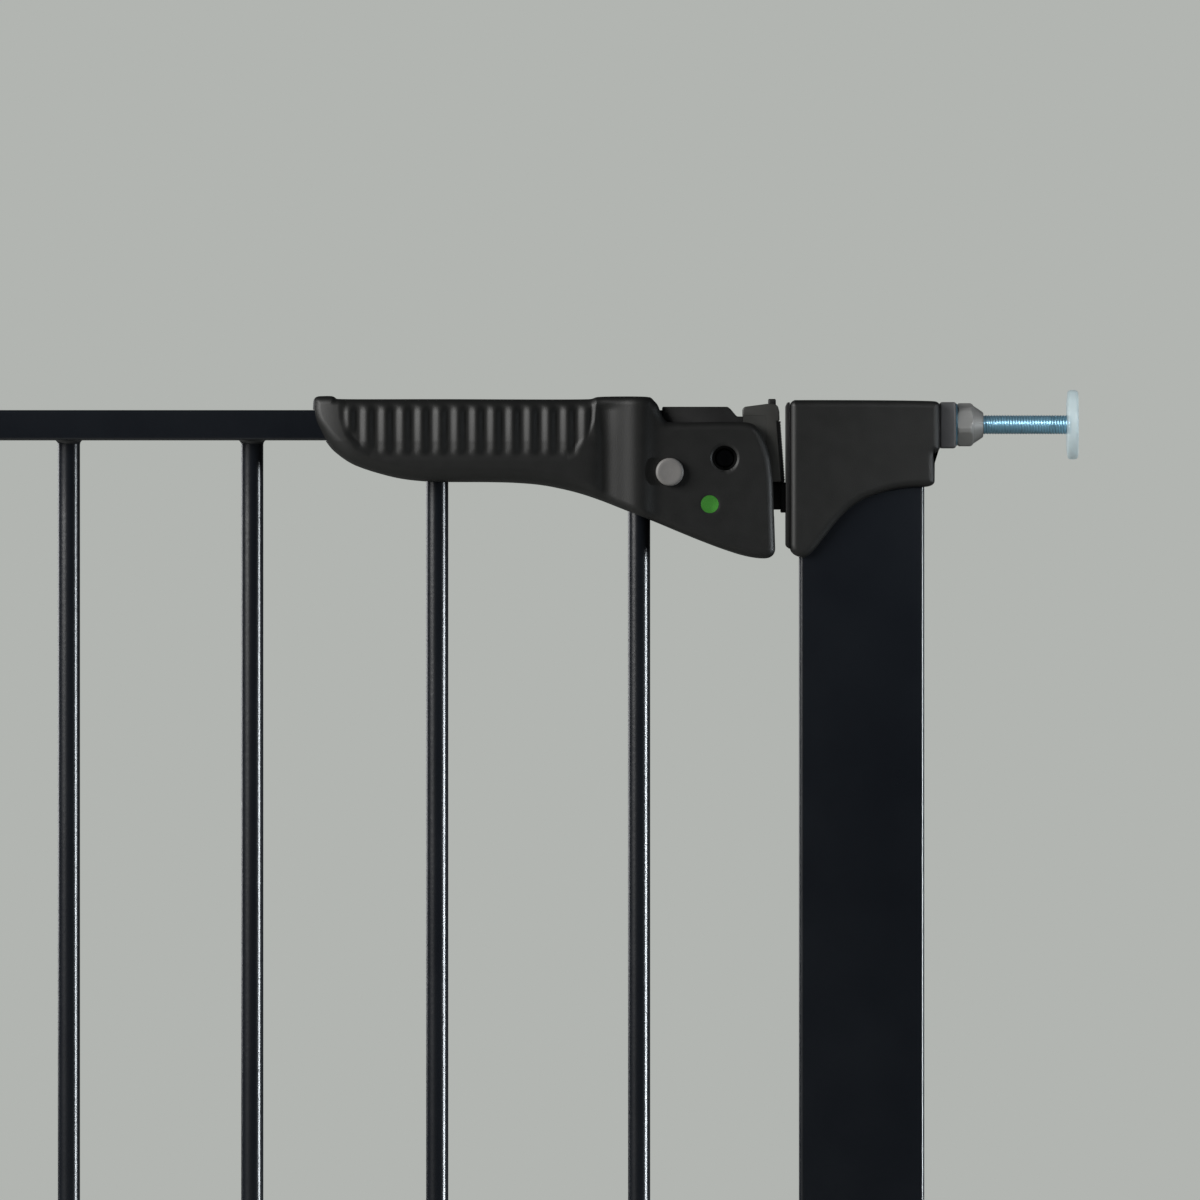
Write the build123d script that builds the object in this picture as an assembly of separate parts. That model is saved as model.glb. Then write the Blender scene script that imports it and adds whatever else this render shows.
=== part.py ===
"""Stair gate latch: sliding handle on the gate leaf, keeper on the frame post, and a screw-out wall spindle.

Millimetres. +Z is up, +X points at the wall, and the front faces -Y.
The origin is the centre of the wall pad's face, on the spindle's axis.
"""

import os

from build123d import *

# frame post and keeper
POST_X0 = -100.6
POST_W = 45.0
POST_D = 20.0
POST_WALL = 1.5
POST_TOP = 6.2
CUT_Z = -284.0
KEEPER_HALF_D = 13.0
STRIKE_X0 = -105.5
STRIKE_T = 1.5

# wall spindle
SPINDLE_R = 3.45
SPINDLE_X0 = -76.0
BORE_R = 3.5
BUSH_R = 5.5
BLOCK_X0 = -50.0
BLOCK_X1 = -44.1
NUT_AF = 14.4
NUT_X0 = -43.6
NUT_HEX_X1 = -37.8
NUT_X1 = -34.2
PAD_R = 12.5
PAD_T = 4.1

# gate leaf
RAIL_X0 = -393.0
RAIL_X1 = -150.0
RAIL_D = 20.0
RAIL_Z0 = -5.6
RAIL_Z1 = 5.2
RAIL_WALL = 1.2
BAR_R = 4.0
BAR_X = (-363.9, -297.8, -231.1, -158.3)

# handle
SHELL_HALF_D = 15.0
CAVITY_HALF_D = 12.5
GRIP_CAVITY_HALF_D = 11.4
SLIDE_TRAVEL = 10.0
LIFT_TRAVEL = 8.0
FLUTE_COUNT = 14
FLUTE_PITCH = 6.55
FLUTE_X0 = -264.3
FLUTE_R = 3.0
RIDGE_X = -161.6
BOLT_HALF_D = 5.0
BOLT_Z0 = -31.7
BOLT_Z1 = -20.8
BOLT_TIP_X = -96.5
SCREW_SPOTS = ((-250.0, -11.5), (-196.0, -13.5), (-172.0, -18.5), (-116.0, -39.5))
RECESS_X = -127.5
RECESS_Z = -12.1
RECESS_R = 4.5
WINDOW_X = -132.9
WINDOW_Z = -28.7
WINDOW_R = 3.2

# thumb button
BUTTON_X = -147.3
BUTTON_Z = -17.1
BUTTON_R = 5.05
BUTTON_TRAVEL = 2.0

# places of the small screws and pins
KEEPER_SCREWS = ((-91.0, -4.0), (-66.0, -14.0), (-91.0, -34.0))
STRIKE_SCREW_Z = (2.0, -38.5)
CAP_SCREW_Z = (-2.5, -15.5)
BOLT_PIN_X = (-136.0, -124.5)
BOLT_PIN_Z = -26.0


def block(x0, x1, y0, y1, z0, z1):
    """Box between two corners."""
    centre = Pos((x0 + x1) / 2, (y0 + y1) / 2, (z0 + z1) / 2)
    return centre * Box(x1 - x0, y1 - y0, z1 - z0)


def rod_x(radius, x0, x1, y=0.0, z=0.0):
    """Cylinder along X."""
    return Pos((x0 + x1) / 2, y, z) * Rot(0, 90, 0) * Cylinder(radius, x1 - x0)


def rod_y(radius, y0, y1, x, z):
    """Cylinder along Y."""
    return Pos(x, (y0 + y1) / 2, z) * Rot(90, 0, 0) * Cylinder(radius, y1 - y0)


def rod_z(radius, z0, z1, x, y=0.0):
    """Cylinder along Z."""
    return Pos(x, y, (z0 + z1) / 2) * Cylinder(radius, z1 - z0)


def slab(face, y0, y1):
    """Extrude a face drawn in X and Z between two depths."""
    plane = Plane(origin=(0, y1, 0), x_dir=(1, 0, 0), z_dir=(0, -1, 0))
    return extrude(plane * face, y1 - y0)


def polygon(points):
    """Face with straight sides."""
    return make_face(Polyline(*points, close=True))


def outer_rim(solid, front):
    """Edges round a half shell's front or back face."""
    faces = solid.faces().sort_by(Axis.Y)
    return (faces[0] if front else faces[-1]).edges()


def coil(radius, wire, length, turns):
    """Helical spring standing on the XY plane."""
    path = Helix(pitch=length / turns, height=length, radius=radius)
    start = Plane(origin=path @ 0, z_dir=path % 0)
    return sweep(start * Circle(wire), path=path)


def countersunk(x, z, y_face, shank_end, head_r, shank_r):
    """Screw driven along Y from the back face, head flush with y_face."""
    head = Pos(x, y_face - 0.9, z) * Rot(-90, 0, 0) * Cone(shank_r, head_r, 1.8)
    shank = rod_y(shank_r, shank_end, y_face - 1.8, x, z)
    slot_cut = block(x - 0.4, x + 0.4, y_face - 0.8, y_face + 1, z - head_r, z + head_r)
    cross_cut = block(x - head_r, x + head_r, y_face - 0.8, y_face + 1, z - 0.4, z + 0.4)
    return head + shank - slot_cut - cross_cut


# ---------------------------------------------------------------- frame post and keeper
POST_X1 = POST_X0 + POST_W


def frame_post():
    tube = block(POST_X0, POST_X1, -POST_D / 2, POST_D / 2, CUT_Z, POST_TOP)
    tube = chamfer(tube.edges().filter_by(Axis.Z), 0.8)
    inner = block(
        POST_X0 + POST_WALL,
        POST_X1 - POST_WALL,
        -POST_D / 2 + POST_WALL,
        POST_D / 2 - POST_WALL,
        CUT_Z - 1,
        POST_TOP + 1,
    )
    tube = tube - inner
    tube = tube - block(POST_X0 - 1, POST_X0 + 3, -6, 6, BOLT_Z0 - 0.7, BOLT_Z1 + LIFT_TRAVEL + 0.8)
    tube = tube - rod_x(BUSH_R, POST_X1 - 4, POST_X1 + 1)
    for x, z in KEEPER_SCREWS:
        tube = tube - rod_y(1.5, 6, 12, x, z)
    return tube


def keeper_outline():
    top = Polyline(
        (-98.8, -47.8),
        (-101.6, -47.3),
        (-103.6, -45.6),
        (-104.0, -44.0),
        (-104.0, 7.4),
        (-102.6, 8.8),
        (-51.4, 8.4),
        (-50.0, 7.2),
        (-50.0, -8.7),
        (-51.8, -10.3),
        (-51.8, -20.6),
        (-53.3, -22.0),
        (-57.0, -22.4),
    )
    under = Spline(
        (-57.0, -22.4),
        (-64.3, -23.0),
        (-73.5, -25.3),
        (-82.7, -30.4),
        (-91.9, -41.0),
        (-95.5, -45.4),
        (-98.8, -47.8),
    )
    return make_face(Curve() + [top, under])


def keeper_half(front):
    y0, y1 = (-KEEPER_HALF_D, 0) if front else (0, KEEPER_HALF_D)
    shell = slab(keeper_outline(), y0, y1)
    shell = fillet(outer_rim(shell, front), 2.0)
    shell = shell - block(POST_X0 - 0.1, POST_X1 + 0.1, -10.1, 10.1, -60, POST_TOP + 0.1)
    shell = shell - block(-106, POST_X0, -6, 6, BOLT_Z0 - 0.7, BOLT_Z1 + LIFT_TRAVEL + 0.8)
    shell = shell - rod_x(BUSH_R, POST_X1 - 1, BLOCK_X0 + 1)
    for z in STRIKE_SCREW_Z:
        shell = shell - rod_x(1.3, -106, POST_X0, 0, z)
    return shell


def keeper_rear():
    shell = keeper_half(False)
    for x, z in KEEPER_SCREWS:
        shell = shell - rod_y(1.5, 9, 14, x, z)
        shell = shell - Pos(x, KEEPER_HALF_D - 0.9, z) * Rot(-90, 0, 0) * Cone(1.5, 3.0, 1.8)
    return shell


def strike_plate():
    x1 = STRIKE_X0 + STRIKE_T
    face = polygon(
        [
            (STRIKE_X0, 6.8),
            (STRIKE_X0 + 0.6, 8.0),
            (x1, 8.0),
            (x1, -44.8),
            (STRIKE_X0 + 0.3, -43.9),
            (STRIKE_X0, -43.0),
        ]
    )
    plate = slab(face, -11.5, 11.5)
    plate = plate - block(-107, -103, -6, 6, BOLT_Z0 - 0.7, BOLT_Z1 + LIFT_TRAVEL + 0.8)
    for z in STRIKE_SCREW_Z:
        plate = plate - rod_x(1.3, -107, -103, 0, z)
        plate = plate - rod_x(2.5, -107, STRIKE_X0 + 0.8, 0, z)
    return plate


def strike_screws():
    screws = []
    for z in STRIKE_SCREW_Z:
        head = rod_x(2.5, STRIKE_X0, STRIKE_X0 + 0.8, 0, z)
        shank = rod_x(1.3, STRIKE_X0 + 0.8, POST_X0 - 0.3, 0, z)
        slot_cut = block(STRIKE_X0 - 1, STRIKE_X0 + 0.4, -2.5, 2.5, z - 0.3, z + 0.3)
        screws.append(head + shank - slot_cut)
    return Compound(screws)


def keeper_screws():
    return Compound(
        [countersunk(x, z, KEEPER_HALF_D, 6.5, 3.0, 1.5) for x, z in KEEPER_SCREWS]
    )


# ---------------------------------------------------------------- wall spindle
def bearing_block():
    body = block(BLOCK_X0, BLOCK_X1, -8.2, 8.2, -8.5, 8.1)
    body = chamfer(body.faces().sort_by(Axis.X)[-1].edges(), 0.6)
    return body - rod_x(BUSH_R, BLOCK_X0 - 1, BLOCK_X0 + 3) - rod_x(BORE_R + 0.3, -60, -40)


def spindle_bush():
    sleeve = rod_x(BUSH_R - 0.03, -61.0, BLOCK_X0 + 3)
    return sleeve - rod_x(BORE_R, -62, -46)


def thrust_washer():
    return rod_x(7.6, BLOCK_X1, NUT_X0) - rod_x(BORE_R + 0.2, -45, -43)


def adjusting_nut():
    section = RegularPolygon(NUT_AF / 2, 6, major_radius=False, rotation=15)
    hexagon = extrude(Plane(origin=(NUT_X0, 0, 0), x_dir=(0, 1, 0), z_dir=(1, 0, 0)) * section, 6.4)
    bevel = Pos(NUT_X0 + 3.2, 0, 0) * Rot(0, 90, 0) * Cylinder(8.05, 6.4)
    bevel = chamfer(bevel.edges(), 0.55)
    crown_x = (NUT_HEX_X1 + NUT_X1) / 2 + 0.3
    crown = Pos(crown_x, 0, 0) * Rot(0, 90, 0) * Cone(6.3, 4.3, NUT_X1 - NUT_HEX_X1 - 0.6)
    lead = rod_x(6.6, NUT_X0 + 6.0, NUT_HEX_X1 + 0.6)
    return (hexagon & bevel) + lead + crown - rod_x(BORE_R, -45, -33)


def adjusting_spindle():
    shank = rod_x(SPINDLE_R, SPINDLE_X0, -PAD_T + 1.6)
    shank = chamfer(shank.edges(), 0.6)
    foot = rod_x(7.0, -PAD_T + 1.2, -PAD_T + 2.4)
    return shank + foot


def wall_pad():
    disc = rod_x(PAD_R, -PAD_T, 0)
    disc = fillet(disc.edges(), 0.8)
    seat = rod_x(7.0, -PAD_T + 1.2, -PAD_T + 2.4)
    return disc - seat - rod_x(SPINDLE_R, -PAD_T - 1, -PAD_T + 2.0)


# ---------------------------------------------------------------- gate leaf
def top_rail():
    tube = block(RAIL_X0, RAIL_X1, -RAIL_D / 2, RAIL_D / 2, RAIL_Z0, RAIL_Z1)
    tube = fillet(tube.edges().filter_by(Axis.X), 1.0)
    tube = tube - block(
        RAIL_X0 - 1,
        RAIL_X1 + 1,
        -RAIL_D / 2 + RAIL_WALL,
        RAIL_D / 2 - RAIL_WALL,
        RAIL_Z0 + RAIL_WALL,
        RAIL_Z1 - RAIL_WALL,
    )
    return tube - rod_z(1.5, RAIL_Z1 - 2, RAIL_Z1 + 1, -166.0)


def gate_bar(x):
    return rod_z(BAR_R, CUT_Z, RAIL_Z0, x)


def rail_end_carrier():
    face = polygon(
        [
            (RAIL_X1, -5.7),
            (RAIL_X1, 6.4),
            (-126.4, 6.4),
            (-125.4, 5.6),
            (-123.1, 2.9),
            (-112.8, 2.9),
            (-112.8, -20.3),
            (-121.0, -20.3),
            (-121.0, -5.7),
        ]
    )
    body = slab(face, -10, 10)
    tenon = block(-175.0, RAIL_X1, -8.7, 8.7, RAIL_Z0 + 1.3, RAIL_Z1 - 1.3)
    lug = block(RAIL_X1, RAIL_X1 + 2.4, -3.5, 3.5, -16.5, -5.7)
    body = body + tenon + lug
    body = body - rod_z(1.5, -2, RAIL_Z1 + 1, -166.0)
    for z in CAP_SCREW_Z:
        body = body - rod_x(1.2, -119, -112, 0, z)
    return body


def nose_cap():
    face = polygon(
        [
            (-121.0, 2.9),
            (-121.0, 5.9),
            (-119.9, 6.6),
            (-112.3, 7.5),
            (-108.9, 7.2),
            (-108.0, 6.2),
            (-107.8, 1.2),
            (-108.8, 1.2),
            (-107.2, -20.3),
            (-112.8, -20.3),
            (-112.8, 2.9),
        ]
    )
    cap = slab(face, -10.5, 10.5)
    cap = chamfer(cap.faces().filter_by(Axis.Y).edges().filter_by(Axis.X), 0.4)
    for z in CAP_SCREW_Z:
        cap = cap - rod_x(1.2, -114, -107, 0, z)
        cap = cap - rod_x(2.4, -111.5, -104, 0, z)
    return cap - rod_z(1.9, 3.9, 9, -110.4)


def nose_pin():
    post = rod_z(1.9, 3.9, 7.0, -110.4)
    head = block(-111.8, -109.0, -2.4, 2.4, 7.0, 9.3)
    head = fillet(head.edges().filter_by(Axis.Z), 0.6)
    return (head - nose_cap()) + post


def end_guide():
    outer = [(-108.8, 1.2), (-107.4, 1.2)]
    steps = 8
    for k in range(steps):
        z_low = 1.2 - 21.5 * (k + 1) / steps
        x_low = -107.4 + 1.6 * (k + 1) / steps
        outer.append((x_low, z_low + 0.5))
        outer.append((x_low - 0.25, z_low))
    outer.append((-107.2, -20.3))
    guide = slab(polygon(outer), -9.0, 9.0)
    for z in CAP_SCREW_Z:
        guide = guide - rod_x(2.4, -110, -104, 0, z)
    return guide


def cap_screws():
    screws = []
    for z in CAP_SCREW_Z:
        head = rod_x(2.4, -111.5, -110.0, 0, z)
        shank = rod_x(1.2, -118.5, -111.5, 0, z)
        slot_cut = block(-110.6, -109, -2.4, 2.4, z - 0.3, z + 0.3)
        screws.append(head + shank - slot_cut)
    return Compound(screws)


def indicator_slide():
    face = polygon(
        [
            (-149.5, -32.4),
            (-113.6, -32.4),
            (-113.6, -9.0),
            (-120.4, -9.0),
            (-120.4, -24.9),
            (-149.5, -24.9),
        ]
    )
    return slab(face, -11.2, -10.0)


def indicator_patch(x):
    return rod_y(3.5, -11.5, -11.2, x, WINDOW_Z)


# ---------------------------------------------------------------- handle
def handle_outline():
    top = Polyline(
        (-275.8, 5.4),
        (-275.7, 8.0),
        (-274.6, 9.6),
        (-272.6, 10.2),
        (-268.4, 10.2),
        (-266.8, 9.3),
        (-175.0, 9.1),
        (-173.0, 9.9),
        (-154.2, 9.9),
        (-151.4, 7.0),
        (-149.8, 2.8),
        (-148.0, 0.9),
        (-118.6, 0.9),
        (-116.0, -0.6),
        (-113.2, -5.0),
        (-111.0, -12.0),
        (-110.1, -20.0),
        (-109.6, -31.0),
        (-109.3, -45.2),
        (-110.2, -47.2),
        (-112.2, -48.2),
    )
    bottom = Spline(
        (-112.2, -48.2),
        (-122.0, -46.8),
        (-136.4, -41.7),
        (-152.6, -35.0),
        (-165.2, -30.0),
        (-179.6, -24.8),
        (-194.0, -21.7),
        (-212.0, -20.7),
        (-230.0, -20.6),
        (-244.4, -19.4),
        (-258.8, -15.4),
        (-266.0, -11.4),
        (-271.4, -5.6),
        (-274.5, 0.6),
        (-275.8, 5.4),
    )
    return make_face(Curve() + [top, bottom])


def handle_inner_outline():
    """The shell's inner face, a wall's thickness inside the outline."""
    top = Polyline(
        (-273.2, 5.4),
        (-272.6, 6.7),
        (-175.0, 6.7),
        (-173.0, 7.4),
        (-155.4, 7.4),
        (-153.8, 6.0),
        (-151.9, 1.6),
        (-149.2, -1.5),
        (-119.6, -1.5),
        (-117.8, -2.6),
        (-115.4, -6.2),
        (-113.4, -12.6),
        (-112.5, -20.2),
        (-112.0, -31.0),
        (-111.8, -44.2),
        (-113.2, -45.6),
    )
    bottom = Spline(
        (-113.2, -45.6),
        (-121.4, -44.4),
        (-135.5, -39.4),
        (-151.7, -32.8),
        (-164.4, -27.7),
        (-179.0, -22.5),
        (-193.7, -19.3),
        (-212.0, -18.3),
        (-230.0, -18.2),
        (-244.0, -17.0),
        (-258.0, -13.1),
        (-264.5, -9.5),
        (-269.4, -4.2),
        (-272.3, 1.5),
        (-273.2, 5.4),
    )
    return make_face(Curve() + [top, bottom])


FLUTE_FIELD = [
    (-266.4, 12.0),
    (-266.0, 3.0),
    (-263.6, -4.0),
    (-259.4, -9.4),
    (-254.0, -12.2),
    (-182.0, -12.4),
    (-177.8, -8.0),
    (-174.4, -2.5),
    (-173.6, 2.5),
    (-173.6, 12.0),
]


# the deeper room for the carrier, which is open at the top and towards the keeper
DEEP_CAVITY = [
    (-170.0, -24.2),
    (-170.0, 7.1),
    (-100.0, 7.1),
    (-100.0, -33.0),
    (-112.6, -33.0),
    (-112.6, -44.6),
    (-118.0, -44.6),
    (-136.0, -38.6),
    (-152.0, -31.9),
]


def flutes():
    ribs = []
    for k in range(FLUTE_COUNT):
        low = {0: -3.0, 1: -9.0}.get(k, -11.4)
        ribs.append(rod_z(FLUTE_R, low, 7.4, FLUTE_X0 + k * FLUTE_PITCH, -12.0))
    return ribs


def handle_half_front_blank():
    """Half shell with its flutes and hood ridge, before the parts inside it are let in."""
    outline = handle_outline()
    shell = slab(outline, -SHELL_HALF_D, 0)
    shell = chamfer(outer_rim(shell, True), 2.2)
    shell = shell - slab(polygon(FLUTE_FIELD), -20, -13.8)
    for rib in flutes():
        shell = shell + rib
    plane = Plane(origin=(0, 0, -60))
    bulge = extrude(plane * Pos(RIDGE_X, -14.0) * Ellipse(9.0, 2.8), 80)
    shell = shell + (bulge & slab(outline, -18, -14))
    shell = shell - slab(handle_inner_outline(), -GRIP_CAVITY_HALF_D, 1)
    shell = shell - slab(polygon(DEEP_CAVITY), -CAVITY_HALF_D, 1)
    shell = shell - block(-280, -268, -10.25, 1, RAIL_Z0 - 0.25, RAIL_Z1 + 0.25)
    for x in BAR_X[2:]:
        shell = shell - block(x - 4.6, x + 4.6 + SLIDE_TRAVEL, -4.6, 1, -60, -6)
    shelf = block(-262, -240, -GRIP_CAVITY_HALF_D, 0, -8.4, -7.2)
    shell = shell + shelf
    for x, z in SCREW_SPOTS:
        shell = shell + rod_y(3.2, -13, 0, x, z)
    shell = shell + rod_y(4.0, -13, 0, RECESS_X, RECESS_Z)
    return shell


def handle_front_shell():
    shell = handle_half_front_blank()
    shell = shell + rod_y(5.9, -13.2, -6.0, RECESS_X, RECESS_Z)
    shell = shell - rod_y(RECESS_R, -16, -9.0, RECESS_X, RECESS_Z)
    shell = shell - rod_y(3.4, -9.5, -7.2, RECESS_X, RECESS_Z)
    shell = shell - rod_y(1.6, -8, 1, RECESS_X, RECESS_Z)
    shell = shell - rod_y(BUTTON_R + 0.1, -20, -10, BUTTON_X, BUTTON_Z)
    shell = shell - rod_y(WINDOW_R, -20, -10, WINDOW_X, WINDOW_Z)
    for x, z in SCREW_SPOTS:
        shell = shell - rod_y(1.25, -8, 1, x, z)
    return shell


def handle_rear_shell():
    shell = mirror(handle_half_front_blank(), Plane.XZ)
    for x in BOLT_PIN_X:
        shell = shell + rod_y(3.5, BOLT_HALF_D, 13.2, x, BOLT_PIN_Z)
        shell = shell - rod_y(1.5, 4, 12.5, x, BOLT_PIN_Z)
    for x, z in SCREW_SPOTS:
        shell = shell - rod_y(1.25, -1, 14, x, z)
        shell = shell - rod_y(2.8, 13.0, 19, x, z)
    return shell - rod_y(1.6, -1, 8, RECESS_X, RECESS_Z)


def latch_bolt():
    neck = block(-140.0, -107.3, -BOLT_HALF_D, BOLT_HALF_D, -30.6, BOLT_Z1)
    head = block(-107.3, BOLT_TIP_X, -BOLT_HALF_D, BOLT_HALF_D, BOLT_Z0, BOLT_Z1)
    head = chamfer(head.faces().sort_by(Axis.X)[-1].edges(), 1.6)
    bolt = neck + head
    for x in BOLT_PIN_X:
        bolt = bolt - rod_y(1.5, -6, 6, x, BOLT_PIN_Z)
    return bolt


def bolt_pins():
    return Compound([rod_y(1.5, -4.8, 12.4, x, BOLT_PIN_Z) for x in BOLT_PIN_X])


def shell_screws():
    screws = []
    for x, z in SCREW_SPOTS:
        head = rod_y(2.8, 13.0, 14.6, x, z)
        shank = rod_y(1.25, -7.5, 13.0, x, z)
        slot_cut = block(x - 0.35, x + 0.35, 14.0, 15, z - 2, z + 2)
        cross_cut = block(x - 2, x + 2, 14.0, 15, z - 0.35, z + 0.35)
        screws.append(head + shank - slot_cut - cross_cut)
    return Compound(screws)


def recess_screw():
    head = rod_y(3.4, -9.0, -7.2, RECESS_X, RECESS_Z)
    head = fillet(head.edges().sort_by(Axis.Y)[0], 0.7)
    shank = rod_y(1.6, -7.2, 7.8, RECESS_X, RECESS_Z)
    socket = extrude(
        Plane(origin=(RECESS_X, -9.5, RECESS_Z), x_dir=(1, 0, 0), z_dir=(0, 1, 0))
        * RegularPolygon(1.5, 6),
        1.6,
    )
    return head + shank - socket


def indicator_lens():
    return rod_y(WINDOW_R, -14.9, -12.6, WINDOW_X, WINDOW_Z)


def liner_upper():
    return block(-262, -190, -8, 8, RAIL_Z1 + 0.1, 6.6)


def liner_lower():
    return block(-262, -240, -8, 8, -7.2, RAIL_Z0 - 0.1)


def return_spring():
    spring = coil(2.2, 0.35, 14.8, 6)
    return Pos(-147.0, 0, RECESS_Z) * Rot(0, 90, 0) * spring


def button_cage():
    plate = block(-155.3, -139.3, -7.0, -6.0, -22.0, -12.2)
    for x in (-155.3, -140.8):
        plate = plate + block(x, x + 1.5, -CAVITY_HALF_D, -6.0, -22.0, -12.2)
    return plate - rod_y(2.2, -8, -5, BUTTON_X, BUTTON_Z)


# ---------------------------------------------------------------- thumb button
def thumb_button():
    cap = rod_y(BUTTON_R, -17.6, -12.5, BUTTON_X, BUTTON_Z)
    cap = fillet(cap.edges().sort_by(Axis.Y)[0], 1.2)
    flange = rod_y(6.2, -12.5, -11.3, BUTTON_X, BUTTON_Z)
    return cap + flange - rod_y(2.0, -14.5, -10, BUTTON_X, BUTTON_Z)


def button_stem():
    return rod_y(2.0, -14.5, -6.0, BUTTON_X, BUTTON_Z)


def button_spring():
    spring = coil(3.2, 0.3, 3.6, 3)
    return Pos(BUTTON_X, -7.35, BUTTON_Z) * Rot(90, 0, 0) * spring


NODES = {
    "frame_post": frame_post(),
    "keeper_front_shell": keeper_half(True),
    "keeper_rear_shell": keeper_rear(),
    "strike_plate": strike_plate(),
    "strike_screws": strike_screws(),
    "keeper_screws": keeper_screws(),
    "bearing_block": bearing_block(),
    "spindle_bush": spindle_bush(),
    "thrust_washer": thrust_washer(),
    "adjusting_nut": adjusting_nut(),
    "adjusting_spindle": adjusting_spindle(),
    "wall_pad": wall_pad(),
    "top_rail": top_rail(),
    "rail_end_carrier": rail_end_carrier(),
    "rail_pin": rod_z(1.5, -2, RAIL_Z1, -166.0),
    "nose_cap": nose_cap(),
    "nose_pin": nose_pin(),
    "end_guide": end_guide(),
    "cap_screws": cap_screws(),
    "indicator_slide": indicator_slide(),
    "indicator_green": indicator_patch(WINDOW_X),
    "indicator_red": indicator_patch(WINDOW_X - SLIDE_TRAVEL),
    "handle_front_shell": handle_front_shell(),
    "handle_rear_shell": handle_rear_shell(),
    "latch_bolt": latch_bolt(),
    "bolt_pins": bolt_pins(),
    "shell_screws": shell_screws(),
    "recess_screw": recess_screw(),
    "indicator_lens": indicator_lens(),
    "liner_upper": liner_upper(),
    "liner_lower": liner_lower(),
    "return_spring": return_spring(),
    "button_cage": button_cage(),
    "thumb_button": thumb_button(),
    "button_stem": button_stem(),
    "button_spring": button_spring(),
}
for number, bar_x in enumerate(BAR_X, start=1):
    NODES[f"gate_bar_{number}"] = gate_bar(bar_x)

os.makedirs("parts", exist_ok=True)
for node_name, shape in NODES.items():
    export_step(shape, f"parts/{node_name}.step")
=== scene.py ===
import math

import bmesh
import bpy
import numpy as np
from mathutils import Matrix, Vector


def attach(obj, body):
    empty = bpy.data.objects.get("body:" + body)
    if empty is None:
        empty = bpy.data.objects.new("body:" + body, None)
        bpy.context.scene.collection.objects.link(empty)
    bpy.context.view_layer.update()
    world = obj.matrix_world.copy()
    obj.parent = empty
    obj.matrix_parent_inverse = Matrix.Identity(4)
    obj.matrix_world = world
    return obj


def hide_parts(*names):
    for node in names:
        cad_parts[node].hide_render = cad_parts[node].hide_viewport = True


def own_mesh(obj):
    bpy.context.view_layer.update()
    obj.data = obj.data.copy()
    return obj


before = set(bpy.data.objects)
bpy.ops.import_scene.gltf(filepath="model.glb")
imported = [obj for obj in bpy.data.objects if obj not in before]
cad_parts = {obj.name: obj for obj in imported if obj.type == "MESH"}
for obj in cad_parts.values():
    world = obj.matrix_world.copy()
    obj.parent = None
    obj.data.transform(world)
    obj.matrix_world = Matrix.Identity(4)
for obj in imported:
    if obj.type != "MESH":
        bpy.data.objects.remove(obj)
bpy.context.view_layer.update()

MM = 0.001
COLLECTION = bpy.context.scene.collection

# ---------------------------------------------------------------- sizes (mm), the same as the CAD model's
BAR_X = (-363.9, -297.8, -231.1, -158.3)
BAR_R = 4.0
CUT_Z = -284.0
POST_X0, POST_X1, POST_TOP = -100.6, -55.6, 6.2
RAIL_X0, RAIL_X1, RAIL_Z0, RAIL_Z1 = -393.0, -150.0, -5.6, 5.2
TUBE_HALF_Y = 10.0
SLIDE_TRAVEL = 10.0
# round features of the handle's face: x, z, radius
RECESS = (-127.5, -12.1, 4.5)
BUTTON = (-147.3, -17.1, 5.15)
WINDOW = (-132.9, -28.7, 3.2)
# the bolt's slot and the spindle's hole through strike plate, keeper and post
SLOT_HALF_Y = 6.0
SLOT_Z = (-32.4, -12.0)
SPINDLE_HOLE_R = 5.5
# screws: x, z
SCREW_SPOTS = ((-250.0, -11.5), (-196.0, -13.5), (-172.0, -18.5), (-116.0, -39.5))
KEEPER_SCREWS = ((-91.0, -4.0), (-66.0, -14.0), (-91.0, -34.0))
STRIKE_SCREW_Z = (2.0, -38.5)

# outlines of the shells: x, z, from the left end to the right one
HANDLE_TOP = [
    (-275.8, 5.4), (-275.75, 7.4), (-275.5, 8.9), (-274.9, 9.75), (-273.9, 10.15), (-272.6, 10.25),
    (-268.9, 10.2), (-268.0, 9.85), (-267.3, 9.3), (-266.2, 9.2), (-230.0, 9.15), (-178.0, 9.1),
    (-175.4, 9.25), (-174.0, 9.75), (-172.6, 9.95), (-155.2, 9.9), (-154.0, 9.6), (-153.0, 8.6),
    (-151.6, 7.0), (-150.6, 4.6), (-149.6, 2.6), (-148.4, 1.2), (-147.0, 0.9), (-120.0, 0.9),
    (-117.6, 0.3), (-115.6, -1.2), (-113.8, -4.0), (-112.2, -8.0), (-111.1, -12.0), (-110.5, -16.0),
    (-110.1, -20.0), (-109.75, -31.0), (-109.3, -44.6),
]
HANDLE_BOTTOM = [
    (-275.8, 5.4), (-275.4, 3.4), (-274.5, 0.6), (-273.2, -2.2), (-271.4, -5.6), (-269.0, -8.8),
    (-266.0, -11.4), (-262.6, -13.7), (-258.8, -15.4), (-251.6, -17.7), (-244.4, -19.4),
    (-237.0, -20.3), (-230.0, -20.6), (-212.0, -20.7), (-203.0, -20.95), (-194.0, -21.7),
    (-186.8, -23.0), (-179.6, -24.8), (-172.4, -27.2), (-165.2, -30.0), (-152.6, -35.0),
    (-144.0, -38.6), (-136.4, -41.7), (-129.0, -44.5), (-122.0, -46.8), (-117.6, -47.8),
    (-114.0, -48.2), (-111.6, -48.0), (-110.1, -47.0), (-109.4, -45.6), (-109.3, -44.6),
]
KEEPER_TOP = [
    (-104.0, 6.2), (-103.85, 7.3), (-103.3, 8.2), (-102.4, 8.75), (-101.0, 8.8), (-52.4, 8.4),
    (-51.2, 8.2), (-50.3, 7.5), (-50.0, 6.4),
]
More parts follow.
